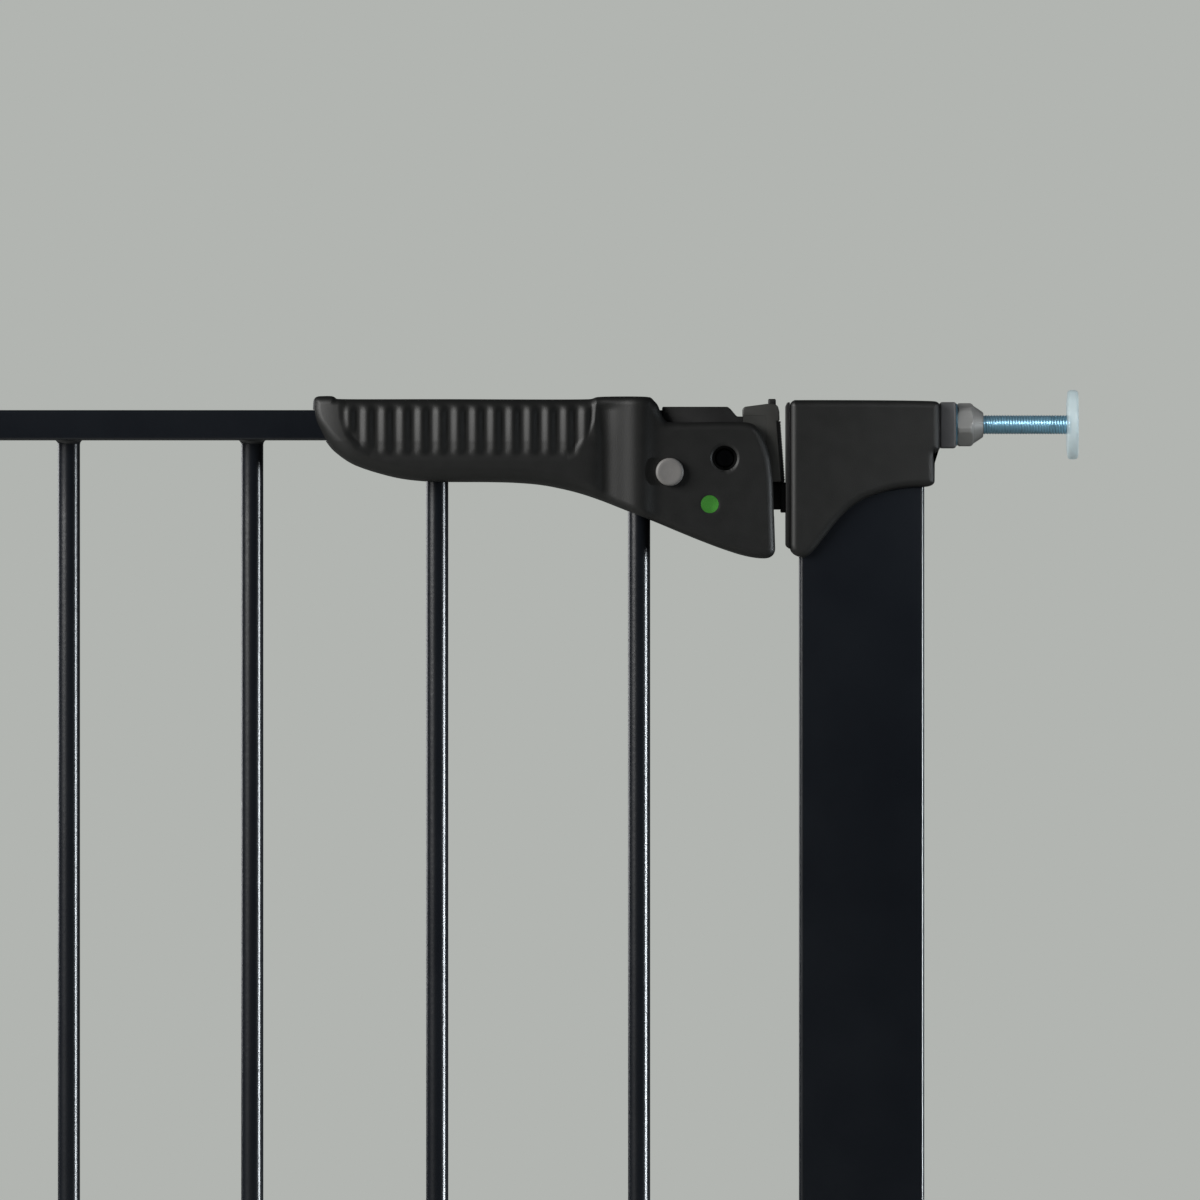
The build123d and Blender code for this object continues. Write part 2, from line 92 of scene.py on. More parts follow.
KEEPER_BOTTOM = [
    (-104.0, -43.8), (-103.6, -45.4), (-102.6, -46.6), (-101.2, -47.4), (-98.9, -47.8),
    (-97.4, -47.1), (-95.5, -45.4), (-91.9, -41.0), (-87.3, -35.1), (-82.7, -30.4), (-78.1, -27.3),
    (-73.5, -25.3), (-68.9, -23.9), (-64.3, -23.0), (-59.8, -22.5), (-54.4, -22.3), (-53.0, -21.9),
    (-52.1, -21.1), (-51.85, -20.0), (-51.8, -10.6), (-51.2, -9.9), (-50.3, -9.1), (-50.0, -8.4),
]
# the grip's fluted field, from its upper left corner round the bottom to the upper right one
FIELD = np.array([
    (-266.6, 14.0), (-266.6, 6.4), (-266.2, 2.0), (-264.2, -4.0), (-260.4, -9.2), (-255.5, -12.0),
    (-250.0, -12.9), (-184.0, -13.0), (-180.4, -11.2), (-178.6, -8.0), (-176.2, -3.6), (-174.4, 1.4),
    (-173.9, 6.4), (-173.9, 14.0),
])

# ---------------------------------------------------------------- how finely things are made
CURVE_STEP = 0.4
SHARP_ANGLE = 32.0
BEVEL_ANGLE = 25.0
HOLE_SEGMENTS = 48
CROWDING = 0.11
MERGE_X = 0.045
CHUNK = 4000
# cutters of a half shell pass the seam plane by this much
SEAM = 0.6


# ---------------------------------------------------------------- small geometry tools
def smoothstep(a, b, v):
    t = np.clip((v - a) / (b - a), 0.0, 1.0)
    return t * t * (3.0 - 2.0 * t)


def bell(distance, width):
    return np.exp(-(distance / width) ** 2)


def shade(obj, angle=SHARP_ANGLE):
    mesh = obj.data
    mesh.shade_smooth()
    mesh.set_sharp_from_angle(angle=math.radians(angle))
    return obj


def new_object(name, verts, faces, angle=SHARP_ANGLE, weld=True):
    """Mesh object from millimetre coordinates, with outward normals and, with weld, no double points."""
    mesh = bpy.data.meshes.new(name)
    mesh.from_pydata([tuple(MM * float(c) for c in v) for v in verts], [], faces)
    bm = bmesh.new()
    bm.from_mesh(mesh)
    if weld:
        bmesh.ops.remove_doubles(bm, verts=bm.verts, dist=2e-6)
        bmesh.ops.dissolve_degenerate(bm, edges=bm.edges, dist=1e-7)
    bmesh.ops.recalc_face_normals(bm, faces=bm.faces)
    bm.to_mesh(mesh)
    bm.free()
    obj = bpy.data.objects.new(name, mesh)
    COLLECTION.objects.link(obj)
    return shade(obj, angle)


def band(a, b, n):
    """Faces between two rings of n points, whose first points are number a and number b."""
    return [(a + k, a + (k + 1) % n, b + (k + 1) % n, b + k) for k in range(n)]


def bevel_edges(obj, width, segments):
    bm = bmesh.new()
    bm.from_mesh(obj.data)
    edges = [
        e for e in bm.edges
        if len(e.link_faces) == 2 and e.calc_face_angle(0.0) > math.radians(BEVEL_ANGLE)
    ]
    bmesh.ops.bevel(
        bm, geom=edges, offset=width * MM, segments=segments, profile=0.5,
        affect="EDGES", clamp_overlap=True,
    )
    bm.to_mesh(obj.data)
    bm.free()
    return shade(obj)


def prism(name, points, low, high, axis="y", bevel=0.0, segments=3):
    """Prism of a polygon along an axis. Its points are (x, z) for axis y and (y, z) for axis x."""
    n = len(points)
    verts = [(p, h, q) if axis == "y" else (h, p, q) for h in (low, high) for p, q in points]
    faces = [tuple(range(n)), tuple(range(2 * n - 1, n - 1, -1))]
    obj = new_object(name, verts, faces + band(0, n, n))
    if bevel:
        bevel_edges(obj, bevel, segments)
    return obj


def box(name, x0, x1, y0, y1, z0, z1, bevel=0.0, segments=3):
    return prism(name, [(x0, z0), (x1, z0), (x1, z1), (x0, z1)], y0, y1, "y", bevel, segments)


def lathe(name, profile, axis="x", centre=(0.0, 0.0), segments=64, angle=SHARP_ANGLE, ring=False):
    """Turned piece. profile: (along axis, radius) from end to end, or all the way round for a ring."""
    verts, faces = [], []
    for a, r in profile:
        for k in range(segments):
            t = 2 * math.pi * k / segments
            u, v = centre[0] + r * math.cos(t), centre[1] + r * math.sin(t)
            verts.append({"x": (a, u, v), "y": (u, a, v), "z": (u, v, a)}[axis])
    for i in range(len(profile) if ring else len(profile) - 1):
        faces += band(i * segments, (i + 1) % len(profile) * segments, segments)
    if not ring and profile[0][1] > 0:
        faces.append(tuple(range(segments)))
    if not ring and profile[-1][1] > 0:
        last = (len(profile) - 1) * segments
        faces.append(tuple(range(last + segments - 1, last - 1, -1)))
    return new_object(name, verts, faces, angle)


def join(name, objs):
    """Several finished meshes as one piece."""
    bm = bmesh.new()
    for o in objs:
        bm.from_mesh(o.data)
        bpy.data.objects.remove(o)
    mesh = bpy.data.meshes.new(name)
    bm.to_mesh(mesh)
    bm.free()
    obj = bpy.data.objects.new(name, mesh)
    COLLECTION.objects.link(obj)
    return shade(obj)


def cut(obj, *groups):
    """Takes groups of cutters out of obj. The cutters of one group don't touch each other."""
    for group in groups:
        cutter = join("cutter", group)
        mod = obj.modifiers.new("cut", "BOOLEAN")
        mod.operation = "DIFFERENCE"
        mod.solver = "MANIFOLD"
        mod.object = cutter
        graph = bpy.context.evaluated_depsgraph_get()
        mesh = bpy.data.meshes.new_from_object(obj.evaluated_get(graph))
        obj.modifiers.clear()
        obj.data = mesh
        bpy.data.objects.remove(cutter)
    return shade(obj)


# ---------------------------------------------------------------- cutters
def bore(r, y0, y1, x, z):
    return lathe("cutter", [(y0, r), (y1, r)], "y", (x, z), HOLE_SEGMENTS)


def spindle_hole(x0, x1):
    return lathe("cutter", [(x0, SPINDLE_HOLE_R), (x1, SPINDLE_HOLE_R)], "x", segments=HOLE_SEGMENTS)


def bolt_slot(x0, x1, y0=-SLOT_HALF_Y, y1=SLOT_HALF_Y):
    return box("cutter", x0, x1, y0, y1, *SLOT_Z)


def across(half_y, side):
    """How far a cutter of one half shell reaches in y. Side -1 is the front half."""
    return (-half_y, SEAM) if side < 0 else (-SEAM, half_y)


# ---------------------------------------------------------------- half shells
def spline_knot(a, b):
    return max(np.linalg.norm(b - a), 1e-6) ** 0.5


def mix(a, b, t0, t1, t):
    return (t1 - t) / (t1 - t0) * a + (t - t0) / (t1 - t0) * b


def dense(points):
    """Smooth curve through points, a centripetal Catmull-Rom spline, sampled about every CURVE_STEP."""
    p = np.array(points, float)
    ext = np.vstack([2 * p[0] - p[1], p, 2 * p[-1] - p[-2]])
    out = []
    for i in range(len(p) - 1):
        a, b, c, d = ext[i:i + 4]
        t0 = 0.0
        t1 = t0 + spline_knot(a, b)
        t2 = t1 + spline_knot(b, c)
        t3 = t2 + spline_knot(c, d)
        n = max(2, int(np.linalg.norm(c - b) / CURVE_STEP) + 1)
        for t in np.linspace(t1, t2, n, endpoint=False):
            middle = mix(b, c, t1, t2, t)
            left = mix(mix(a, b, t0, t1, t), middle, t0, t2, t)
            right = mix(middle, mix(c, d, t2, t3, t), t1, t3, t)
            out.append(mix(left, right, t1, t2, t))
    out.append(p[-1])
    return np.array(out)


def distance_to(loop, points):
    """Distance of each point to the closed polyline."""
    ab = np.roll(loop, -1, axis=0) - loop
    length2 = np.maximum((ab ** 2).sum(1), 1e-12)
    best = np.empty(len(points))
    for s in range(0, len(points), CHUNK):
        ap = points[s:s + CHUNK][:, None, :] - loop[None]
        t = np.clip((ap * ab[None]).sum(2) / length2, 0, 1)
        near = ap - t[..., None] * ab[None]
        best[s:s + CHUNK] = np.sqrt((near ** 2).sum(2).min(1))
    return best


def inside(loop, x, z):
    """Whether each point lies in the polygon."""
    hit = np.zeros(len(x), bool)
    for (xi, zi), (xj, zj) in zip(loop, np.roll(loop, 1, axis=0)):
        slope = (xj - xi) / (zj - zi + 1e-12)
        hit ^= ((zi > z) != (zj > z)) & (x < slope * (z - zi) + xi)
    return hit


def columns(x0, x1, step, *curves):
    """x of a shell's columns: even steps and the curves' own points, none of them nearly twice."""
    xs = np.concatenate([np.arange(x0, x1, step)] + [curve[:, 0] for curve in curves] + [[x0, x1]])
    xs = np.unique(np.round(np.clip(xs, x0, x1), 2))
    keep = [0]
    for i in range(1, len(xs)):
        if xs[i] - xs[keep[-1]] > MERGE_X or i == len(xs) - 1:
            keep.append(i)
    return xs[keep]


def grid(xs, low, high, rows):
    """x and z of the points of all columns, closer together towards both ends of a column."""
    s = np.linspace(0, 1, rows)
    t = s - CROWDING * np.sin(2 * math.pi * s)
    x = np.repeat(xs[:, None], rows, 1)
    z = low[:, None] * (1 - t) + high[:, None] * t
    return x.ravel(), z.ravel()


def grid_border(count, rows):
    """Numbers of the points round a grid's border, in order."""
    border = [i * rows for i in range(count)]
    border += [(count - 1) * rows + j for j in range(1, rows)]
    border += [i * rows + rows - 1 for i in range(count - 2, -1, -1)]
    return border + list(range(rows - 2, 0, -1))


def on_seam(points):
    """The same points, moved onto the seam plane."""
    moved = points.copy()
    moved[:, 1] = 0
    return moved


def half_shell(name, top, bottom, depth, wall_y, side, step_x, rows, inset):
    """Hollow half shell between two outlines. Side -1 is the front half.

    depth(x, z, edge) is how far the outer face stands from the seam plane, where edge is the distance
    to the outline. wall_y(x) is the same for the inner face, which keeps inset within the outline.
    """
    top_curve, bottom_curve = dense(top), dense(bottom)
    outline = np.vstack([bottom_curve, top_curve[::-1][1:-1]])
    x0, x1 = top[0][0], top[-1][0]

    def low(x):
        return np.interp(x, bottom_curve[:, 0], bottom_curve[:, 1])

    def high(x):
        return np.interp(x, top_curve[:, 0], top_curve[:, 1])

    xs = columns(x0, x1, step_x, top_curve, bottom_curve)
    x, z = grid(xs, low(xs), high(xs), rows)
    height = depth(x, z, distance_to(outline, np.stack([x, z], 1)))
    outer = np.stack([x, side * height, z], 1)
    mid, half = (x0 + x1) / 2, (x1 - x0) / 2
    inner_xs = mid + (xs - mid) * (half - inset) / half
    room = np.minimum(inset, (high(inner_xs) - low(inner_xs)) * 0.45)
    x, z = grid(inner_xs, low(inner_xs) + room, high(inner_xs) - room, rows)
    inner = np.stack([x, side * np.repeat(wall_y(inner_xs), rows), z], 1)

    border = grid_border(len(xs), rows)
    verts = np.vstack([outer, inner, on_seam(outer[border]), on_seam(inner[border])])
    n, m = len(outer), len(border)
    rim_out, rim_in = 2 * n, 2 * n + m
    faces = []
    for i in range(len(xs) - 1):
        for j in range(rows - 1):
            a = i * rows + j
            faces.append((a, a + rows, a + rows + 1, a + 1))
            faces.append((n + a, n + a + 1, n + a + rows + 1, n + a + rows))
    for k in range(m):
        k2 = (k + 1) % m
        a, b = border[k], border[k2]
        faces.append((a, b, rim_out + k2, rim_out + k))
        faces.append((n + a, rim_in + k, rim_in + k2, n + b))
        faces.append((rim_out + k, rim_out + k2, rim_in + k2, rim_in + k))
    return new_object(name, verts, faces, 40.0)


def rolled_rim(height, radius, edge):
    """Rounds a flat face down to the outline with the given radius."""
    short = np.clip(radius - edge, 0, None)
    return height - (radius - np.sqrt(np.maximum(radius ** 2 - short ** 2, 0)))


# ---------------------------------------------------------------- materials
def material(name, colour, rough, metal=0.0, slot=None, **extra):
    """Principled material. slot is its slot in the record, where that isn't its own name."""
    mat = bpy.data.materials.new(name)
    mat["slot"] = slot or name
    mat.use_nodes = True
    shader = mat.node_tree.nodes["Principled BSDF"]
    shader.inputs["Base Color"].default_value = (*colour, 1.0)
    shader.inputs["Roughness"].default_value = rough
    shader.inputs["Metallic"].default_value = metal
    for key, value in extra.items():
        shader.inputs[key.replace("_", " ")].default_value = value
    return mat


def noise_node(tree, where, scale, detail):
    noise = tree.nodes.new("ShaderNodeTexNoise")
    noise.inputs["Scale"].default_value = scale
    noise.inputs["Detail"].default_value = detail
    tree.links.new(where.outputs["Object"], noise.inputs["Vector"])
    return noise


def add_grain(mat, scale, bump, colours, roughs):
    """Fine noise that drives the bump, and broad noise that drives colour and roughness."""
    tree = mat.node_tree
    nodes, links = tree.nodes, tree.links
    shader = nodes["Principled BSDF"]
    where = nodes.new("ShaderNodeTexCoord")
    if bump:
        fine = noise_node(tree, where, scale, 4.0)
        node = nodes.new("ShaderNodeBump")
        node.inputs["Strength"].default_value = 1.0
        node.inputs["Distance"].default_value = bump
        links.new(fine.outputs["Fac"], node.inputs["Height"])
        links.new(node.outputs["Normal"], shader.inputs["Normal"])
    broad = noise_node(tree, where, scale * 0.07, 3.0)
    ramp = nodes.new("ShaderNodeValToRGB")
    for stop, position, colour in zip(ramp.color_ramp.elements, (0.3, 0.72), colours):
        stop.position = position
        stop.color = (*colour, 1)
    links.new(broad.outputs["Fac"], ramp.inputs["Fac"])
    links.new(ramp.outputs["Color"], shader.inputs["Base Color"])
    spread = nodes.new("ShaderNodeMapRange")
    spread.inputs["To Min"].default_value = roughs[0]
    spread.inputs["To Max"].default_value = roughs[1]
    links.new(broad.outputs["Fac"], spread.inputs["Value"])
    links.new(spread.outputs["Result"], shader.inputs["Roughness"])
    return mat


SHELL = add_grain(
    material("black_shell", (0.0058, 0.0060, 0.0057), 0.52), scale=2600, bump=0.00004,
    colours=((0.0050, 0.0052, 0.0049), (0.0068, 0.0070, 0.0067)), roughs=(0.48, 0.56),
)
INNER = add_grain(
    material("black_inner", (0.0045, 0.0045, 0.0045), 0.5), scale=2200, bump=0.00003,
    colours=((0.0036, 0.0036, 0.0036), (0.0056, 0.0056, 0.0056)), roughs=(0.42, 0.6),
)
NOSE = add_grain(
    material("grey_nose", (0.040, 0.040, 0.037), 0.47), scale=2400, bump=0.00003,
    colours=((0.036, 0.0362, 0.0335), (0.045, 0.045, 0.042)), roughs=(0.42, 0.52),
)
# The bearing block's copy of the grey_nose plastic, painted lighter than the nose: painted light that makes
# up for the keeper's shadow over the block.
SHADOW_LIFTED_BLOCK = add_grain(
    material("grey_block_shadow_lifted", (0.058, 0.058, 0.061), 0.5, slot="grey_nose"), scale=2400, bump=0.00003,
    colours=((0.052, 0.052, 0.055), (0.064, 0.064, 0.067)), roughs=(0.44, 0.56),
)
BUTTON_GREY = add_grain(
    material("button_grey", (0.20, 0.193, 0.188), 0.5), scale=2000, bump=0.00003,
    colours=((0.188, 0.181, 0.176), (0.212, 0.205, 0.20)), roughs=(0.42, 0.55),
)
PAINT = add_grain(
    material("paint_black", (0.005, 0.0066, 0.0098), 0.29), scale=520, bump=0.00004,
    colours=((0.0045, 0.0059, 0.009), (0.0058, 0.0075, 0.0108)), roughs=(0.26, 0.32),
)
ZINC = add_grain(
    material("zinc", (0.21, 0.39, 0.51), 0.30, 0.7), scale=500, bump=0.0,
    colours=((0.19, 0.37, 0.49), (0.23, 0.42, 0.54)), roughs=(0.27, 0.33),
)
NUT_ZINC = add_grain(
    material("nut_zinc", (0.23, 0.23, 0.225), 0.46, 0.35, slot="zinc"), scale=700, bump=0.00001,
    colours=((0.21, 0.21, 0.205), (0.26, 0.26, 0.255)), roughs=(0.42, 0.50),
)
# Steel painted near black for the screw at the bottom of the recess: painted shade, the darkness of the deep
# hole painted onto the screw head.
HOLE_SHADE_STEEL = add_grain(
    material("hole_shade_steel", (0.03, 0.03, 0.032), 0.25, 0.9, slot="steel"), scale=800, bump=0.00001,
    colours=((0.024, 0.024, 0.026), (0.036, 0.036, 0.039)), roughs=(0.20, 0.32),
)
STEEL = add_grain(
    material("steel", (0.5, 0.5, 0.5), 0.32, 1.0), scale=800, bump=0.00001,
    colours=((0.42, 0.42, 0.42), (0.56, 0.56, 0.56)), roughs=(0.24, 0.4),
)
ACETAL = add_grain(
    material("acetal", (0.62, 0.62, 0.59), 0.42), scale=900, bump=0.00001,
    colours=((0.58, 0.58, 0.55), (0.65, 0.65, 0.62)), roughs=(0.36, 0.48),
)
PAD = add_grain(
    material("pad_clear", (0.74, 0.88, 0.92), 0.32, Transmission_Weight=0.35, IOR=1.42, Alpha=0.58),
    scale=700, bump=0.00002, colours=((0.69, 0.84, 0.89), (0.79, 0.92, 0.95)), roughs=(0.26, 0.42),
)
# The green dot glows a little through its emission: painted light that lifts it out of the shade of the
# window's bore.
GREEN = add_grain(
    material(
        "green", (0.08, 0.40, 0.045), 0.4,
        Emission_Color=(0.05, 0.29, 0.028, 1.0), Emission_Strength=0.55,
    ),
    scale=900, bump=0.0, colours=((0.074, 0.38, 0.042), (0.086, 0.42, 0.048)), roughs=(0.35, 0.45),
)
# The red patch glows the same way: painted light against the shade behind the window.
RED = add_grain(
    material(
        "red", (0.42, 0.02, 0.02), 0.4,
        Emission_Color=(0.32, 0.012, 0.012, 1.0), Emission_Strength=0.55,
    ),
    scale=900, bump=0.0, colours=((0.40, 0.018, 0.018), (0.45, 0.025, 0.022)), roughs=(0.35, 0.45),
)
LENS = add_grain(
    material("lens", (0.10, 0.16, 0.09), 0.30, Alpha=0.14), scale=300, bump=0.0,
    colours=((0.09, 0.15, 0.08), (0.11, 0.17, 0.10)), roughs=(0.26, 0.36),
)


def finish(obj, mat):
    """Gives a piece its material."""
    obj.data.materials.clear()
    obj.data.materials.append(mat)


def place(obj, mat, body, *replaced):
    """Finishes a piece and puts it on its body, in place of CAD nodes."""
    finish(obj, mat)
    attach(obj, body)
    if replaced:
        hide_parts(*replaced)


# ---------------------------------------------------------------- handle shells
HANDLE_FACE = 15.0
RIDGE_X = -158.2
HOLLOW_X = -170.2
SWELLING_X = -174.4
FIELD_DROP = 0.8
RIB_COUNT = 14
RIB_PITCH = 6.55
FIRST_RIB_X = -264.3
SHELL_STEP = 0.36
SHELL_INSET = 2.4
SHELL_SCREW_R = 2.8


def add_hood(height, x, z):
    """Raises the hood's ridge, with a hollow and a slight swelling on its left."""
    ridge = x - RIDGE_X
    height += 1.78 * np.exp(-np.abs(ridge / np.where(ridge < 0, 5.4, 4.6)) ** 2.3)
    height -= 0.95 * bell(x - HOLLOW_X, 3.4) * smoothstep(9.0, 5.0, z)
    lean = 0.12 * np.clip(2 - z, 0, 12)
    height += 0.25 * bell(x - SWELLING_X - lean, 1.5) * smoothstep(-9, -2, z)


def add_flutes(height, x, z):
    """Sinks the fluted field and raises its ribs."""
    gap = distance_to(FIELD, np.stack([x, z], 1))
    signed = np.where(inside(FIELD, x, z), gap, -gap)
    slope = 2.0 + 2.4 * smoothstep(-4.0, -9.0, z) + 2.0 * smoothstep(-258.0, -266.0, x)
    mask = smoothstep(0.0, 1.0, (signed + 0.4) / slope)
    height -= FIELD_DROP * mask
    # the last rib bends with the field's corner
    along = (x - FIRST_RIB_X + 1.5 * smoothstep(-6, -12, z) * (x > -181.5)) / RIB_PITCH
    number = np.floor(along + 0.30)
    phase = along - number
    rib = smoothstep(-0.24, 0.22, phase) * smoothstep(0.70, 0.24, phase)
    # the first two ribs end higher, where the field narrows
    foot = np.where(number < 0.5, -3.2, np.where(number < 1.5, -9.2, -11.6))
    ends = smoothstep(foot - 1.0, foot + 3.0, z) * smoothstep(8.4, 4.0, z)
    rise = 0.72 + 0.2 * smoothstep(-9.0, 2.0, z)
    height += rise * rib * ends * mask * (number >= 0) * (number <= RIB_COUNT - 1)


def rear_grip_depth(x, z, edge):
    # soft rolled rims: tight along the plate, fuller round the grip
    grip = 1.0 - smoothstep(-181, -164, x)
    radius = 3.0 + 2.6 * grip * smoothstep(4.0, -8.0, z)
    height = rolled_rim(np.full(len(x), HANDLE_FACE), radius, edge)
    # the grip's face leans back towards the top
    height -= grip * 0.10 * np.clip(z + 6.0, 0, None)
    # the far end curves back
    height -= 0.013 * np.clip(-261.0 - x, 0, None) ** 2
    add_hood(height, x, z)
    add_flutes(height, x, z)
    return height


def front_grip_depth(x, z, edge):
    """The same face with a softened edge round the recess and the window."""
    height = rear_grip_depth(x, z, edge)
    for (cx, cz, r), drop in ((RECESS, 0.5), (WINDOW, 0.12)):
        away = np.hypot(x - cx, z - cz) - r
        height -= drop * (1 - smoothstep(0.0, 0.9, away)) ** 1.3
    return height


def handle_wall(xs):
    return 11.4 + 1.1 * smoothstep(-173.0, -169.0, xs)


def handle_cutters(side):
    """What both halves of the handle have: the rooms for carrier and rail, then the ways out."""
    rooms = [
        box("cutter", -156, -100, *across(12.6, side), -6.0, 7.1),
        box("cutter", -282, -266, *across(10.25, side), RAIL_Z0 - 0.25, RAIL_Z1 + 0.25),
    ]
    ways_out = [box("cutter", -124, -100, *across(12.6, side), -33.0, 2.0)]
    for x in BAR_X[2:]:
        ways_out.append(box("cutter", x - 4.6, x + 4.6 + SLIDE_TRAVEL, *across(4.6, side), -60, -5))
    return rooms, ways_out


front_shell = half_shell(
    "handle_front", HANDLE_TOP, HANDLE_BOTTOM, front_grip_depth, handle_wall, -1, SHELL_STEP, 110, SHELL_INSET
)
rooms, ways_out = handle_cutters(-1)
rooms += [bore(r, -19, -5, x, z) for x, z, r in (RECESS, BUTTON, WINDOW)]
cut(front_shell, rooms, ways_out)
place(front_shell, SHELL, "handle", "handle_front_shell")

recess_cup = lathe("recess_cup", [
    (-14.2, RECESS[2]), (-14.2, 5.7), (-6.0, 5.7), (-6.0, 1.7), (-7.15, 1.7), (-7.15, 3.6), (-9.0, 3.6),
    (-9.0, RECESS[2] - 0.1),
], "y", RECESS[:2], HOLE_SEGMENTS, ring=True)
place(recess_cup, INNER, "handle")

rear_shell = half_shell(
    "handle_rear", HANDLE_TOP, HANDLE_BOTTOM, rear_grip_depth, handle_wall, 1, SHELL_STEP, 90, SHELL_INSET
)
rooms, ways_out = handle_cutters(1)
screw_bores = [bore(SHELL_SCREW_R, 13.0, 20, x, z) for x, z in SCREW_SPOTS]
cut(rear_shell, rooms + screw_bores[:3], ways_out, screw_bores[3:])
place(rear_shell, SHELL, "handle", "handle_rear_shell")

# ---------------------------------------------------------------- keeper shells
KEEPER_FACE = 13.0
KEEPER_RIM = 2.6
KEEPER_WALL = 10.1
POST_PLAY = 0.1


def keeper_depth(x, z, edge):
    return rolled_rim(np.full(len(x), KEEPER_FACE), KEEPER_RIM, edge)


def keeper_wall(xs):
    return np.full(len(xs), KEEPER_WALL)


def keeper_half(name, node, side):
    shell = half_shell(name, KEEPER_TOP, KEEPER_BOTTOM, keeper_depth, keeper_wall, side, 0.6, 90, 3.2)
    rooms = [box(
        "cutter", POST_X0 - POST_PLAY, POST_X1 + POST_PLAY, *across(KEEPER_WALL, side),
        -60, POST_TOP + POST_PLAY,
    )]
    if side > 0:
        rooms += [
            lathe("cutter", [(11.2, 1.5), (13.01, 3.05), (14.0, 3.05)], "y", (x, z), 32)
            for x, z in KEEPER_SCREWS
        ]
    cut(shell, rooms, [bolt_slot(-107, -99, *across(SLOT_HALF_Y, side)), spindle_hole(-58.0, -48.0)])
    place(shell, SHELL, "frame", node)


keeper_half("keeper_front", "keeper_front_shell", -1)
keeper_half("keeper_rear", "keeper_rear_shell", 1)


# ---------------------------------------------------------------- frame side
def rounded_rectangle(half_y, low, high, r):
    points = []
    corners = (
        (half_y - r, high - r, 0), (-half_y + r, high - r, 90),
        (-half_y + r, low + r, 180), (half_y - r, low + r, 270),
    )
    for y, z, start in corners:
        for k in range(7):
            t = math.radians(start + 15 * k)
            points.append((y + r * math.cos(t), z + r * math.sin(t)))
    return points


def tube(name, along, a0, a1, low, high, wall, corner):
    """Rectangular tube along x or z with rounded corners, open at both ends."""
    outer = rounded_rectangle(TUBE_HALF_Y, low, high, corner)
    inner = rounded_rectangle(TUBE_HALF_Y - wall, low + wall, high - wall, max(corner - wall, 0.15))
    stations = np.linspace(a0, a1, 24)
    n, m = len(outer), len(stations)
    verts, faces = [], []
    for ring_points in (outer, inner):
        for a in stations:
            for p, q in ring_points:
                verts.append((a, p, q) if along == "x" else (q, p, a))
    for i in range(m - 1):
        for k in range(n):
            a, b = i * n + k, i * n + (k + 1) % n
            faces.append((a, b, b + n, a + n))
            a, b = a + m * n, b + m * n
            faces.append((a, a + n, b + n, b))
    for i in (0, m - 1):
        faces += band(i * n, (m + i) * n, n)
    return new_object(name, verts, faces, 30.0)


post = tube("post", "z", CUT_Z, POST_TOP, POST_X0, POST_X1, 1.5, 1.6)
cut(post, [bolt_slot(POST_X0 - 1, POST_X0 + 3), spindle_hole(POST_X1 - 4, POST_X1 + 1)])
place(post, PAINT, "frame", "frame_post")

strike = prism("strike", [
    (-105.5, 6.6), (-104.9, 8.0), (-104.0, 8.0), (-104.0, -44.8), (-105.2, -43.9), (-105.5, -43.2),
], -11.5, 11.5, "y", 0.25, 2)
strike_bores = [lathe("cutter", [(-107, 2.5), (-104.7, 2.5)], "x", (0, z), 32) for z in STRIKE_SCREW_Z]
cut(strike, [bolt_slot(-107, -103)] + strike_bores)
place(strike, INNER, "frame", "strike_plate")

bearing = prism("bearing", [
    (-8.2, -8.5), (8.2, -8.5), (8.2, 8.1), (-8.2, 8.1),
], -50.0, -44.1, "x", 0.9, 4)
# the block takes the grey painted lighter against the keeper's shadow
place(bearing, SHADOW_LIFTED_BLOCK, "frame", "bearing_block")

washer = lathe("washer", [
    (-44.1, 3.7), (-44.1, 7.4), (-44.0, 7.6), (-43.7, 7.6), (-43.6, 7.4), (-43.6, 3.7),
], ring=True)
place(washer, ZINC, "frame", "thrust_washer")


# ---------------------------------------------------------------- nut, spindle and pad
NUT_STATIONS = (
    -43.6, -43.35, -43.0, -42.4, -41.0, -39.6, -38.8, -38.4, -38.05, -37.8, -37.55,
    -37.2, -36.4, -35.4, -34.7, -34.35, -34.2,
)
NUT_SEGMENTS = 192
NUT_FLAT_R = 7.2
NUT_CORNER_R = 7.92
NUT_BORE_R = 3.5
CONE_X = -37.9
CONE_LENGTH = 3.7


def nut_radius(x, t):
    """Radius at x in direction t: a hexagon with both rims rounded off, then the cone and its small end."""
    if x > CONE_X:
        f = (x - CONE_X) / CONE_LENGTH
        r = 6.85 - 2.3 * f - 0.15 * f ** 2
        return r - 0.3 if x > -34.3 else r
    away = (t - math.radians(15)) % (math.pi / 3)
    hexagon = min(NUT_FLAT_R / math.cos(away - math.pi / 6), NUT_CORNER_R)
    rim = 7.15 + max(0.0, x - NUT_STATIONS[0]) * 1.9
    shoulder = 6.95 + max(0.0, -37.7 - x) * 0.85
    return min(hexagon, rim, shoulder)


def nut_mesh():
    n = NUT_SEGMENTS
    directions = [2 * math.pi * k / n for k in range(n)]
    verts, faces = [], []
    for x in NUT_STATIONS:
        for t in directions:
            r = nut_radius(x, t)
            verts.append((x, r * math.cos(t), r * math.sin(t)))
    for i in range(len(NUT_STATIONS) - 1):
        faces += band(i * n, (i + 1) * n, n)
    last, bore_start = len(verts) - n, len(verts)
    bore_end = bore_start + n
    for x in (NUT_STATIONS[0], NUT_STATIONS[-1]):
        verts += [(x, NUT_BORE_R * math.cos(t), NUT_BORE_R * math.sin(t)) for t in directions]
    faces += band(bore_start, 0, n) + band(last, bore_end, n) + band(bore_end, bore_start, n)
    return new_object("nut", verts, faces, 24.0)


place(nut_mesh(), NUT_ZINC, "nut", "adjusting_nut")

THREAD_SEGMENTS = 56
THREAD_STEPS = 12


